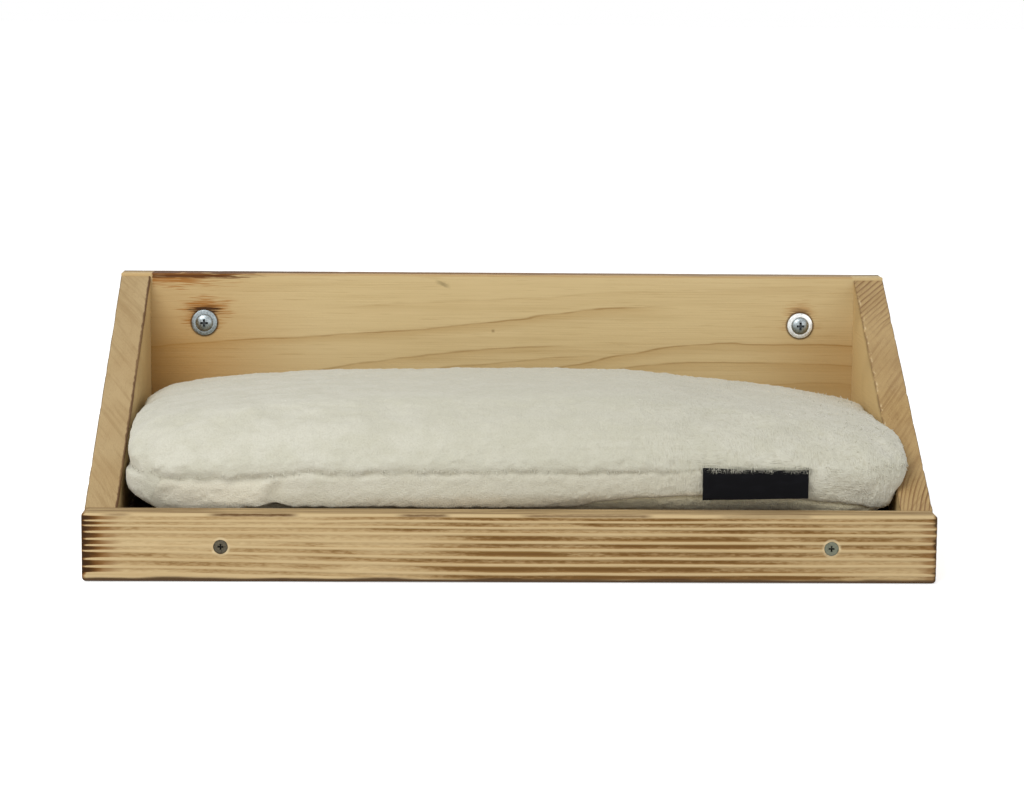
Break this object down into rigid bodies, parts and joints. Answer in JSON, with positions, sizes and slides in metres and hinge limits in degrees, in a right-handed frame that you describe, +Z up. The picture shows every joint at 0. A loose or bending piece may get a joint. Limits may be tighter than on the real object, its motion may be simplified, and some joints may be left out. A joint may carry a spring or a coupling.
{
  "type": "cat wall alcove",
  "caption": "Wall-hung wooden cat alcove: a tray with a low back board, sloping side panels, a brushed front rail and a loose plush cushion.",
  "frame": {"origin": "on the wall plane, halfway between the two wall holes in the back board", "axes": "+X to the right seen from the front, +Y into the wall, +Z up; the alcove opens towards -Y and +Z"},
  "size_m": [0.6, 0.3354, 0.19],
  "materials": {
    "pine_board": "planed softwood, oiled, edges lightly flamed",
    "pine_panel": "planed softwood, end grain on the slope, lightly flamed",
    "brushed_pine": "flamed and brushed softwood with raised grain ridges, burnt ends",
    "scorched_pine": "dark flamed softwood",
    "zinc_steel": "bright zinc plated",
    "cream_plush": "short ribbed plush pile",
    "fibre_filling": "loose polyester fibre",
    "black_label": "plain woven satin ribbon"
  },
  "bodies": {
    "alcove": {"back_board": "pine_board", "left_side_panel": "pine_panel", "right_side_panel": "pine_panel", "front_rail": "brushed_pine", "floor_board": "scorched_pine", "rail_screw_left": "zinc_steel", "rail_screw_right": "zinc_steel", "panel_screw_left_lower": "zinc_steel", "panel_screw_left_upper": "zinc_steel", "floor_screw_left_front": "zinc_steel", "floor_screw_left_rear": "zinc_steel", "panel_screw_right_lower": "zinc_steel", "panel_screw_right_upper": "zinc_steel", "floor_screw_right_front": "zinc_steel", "floor_screw_right_rear": "zinc_steel", "floor_screw_back_left": "zinc_steel", "floor_screw_back_middle": "zinc_steel", "floor_screw_back_right": "zinc_steel", "wall_screw_left": "zinc_steel", "wall_washer_left": "zinc_steel", "wall_screw_right": "zinc_steel", "wall_washer_right": "zinc_steel"},
    "cushion": {"cushion_top_cover": "cream_plush", "cushion_bottom_cover": "cream_plush", "cushion_filling": "fibre_filling", "cushion_label": "black_label"}
  },
  "joints": [
    {"name": "cushion_lift", "type": "slide", "parent": "alcove", "child": "cushion", "axis": [0, 0, 1], "range_m": [0, 0.2]}
  ]
}
